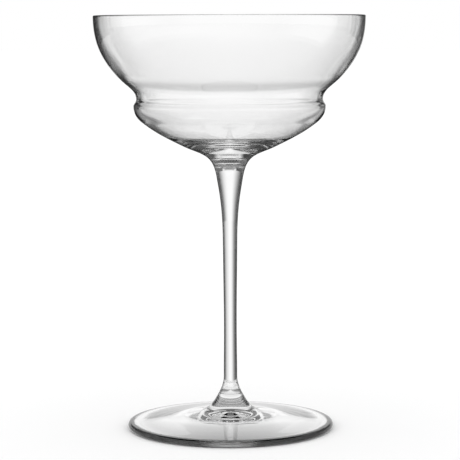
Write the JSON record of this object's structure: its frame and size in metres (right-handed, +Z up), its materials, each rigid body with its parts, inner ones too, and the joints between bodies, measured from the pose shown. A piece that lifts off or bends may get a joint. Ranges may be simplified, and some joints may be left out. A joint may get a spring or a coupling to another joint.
{
  "type": "margarita glass",
  "caption": "Clear stemmed cocktail glass: wide stepped bowl over a narrower rounded cup, slim drawn stem and a broad round foot.",
  "frame": {"origin": "on the table, under the glass's axis, at the middle of the foot's resting ring", "axes": "+Z up along the stem, from the foot to the rim; X and Y are level and alike"},
  "size_m": [0.115, 0.115, 0.176],
  "materials": {
    "blown_glass": "clear, fire-polished",
    "drawn_glass": "clear, drawn",
    "spun_glass": "clear, fire-polished"
  },
  "bodies": {
    "root": {"bowl": "blown_glass", "stem": "drawn_glass", "foot": "spun_glass"}
  },
  "joints": []
}
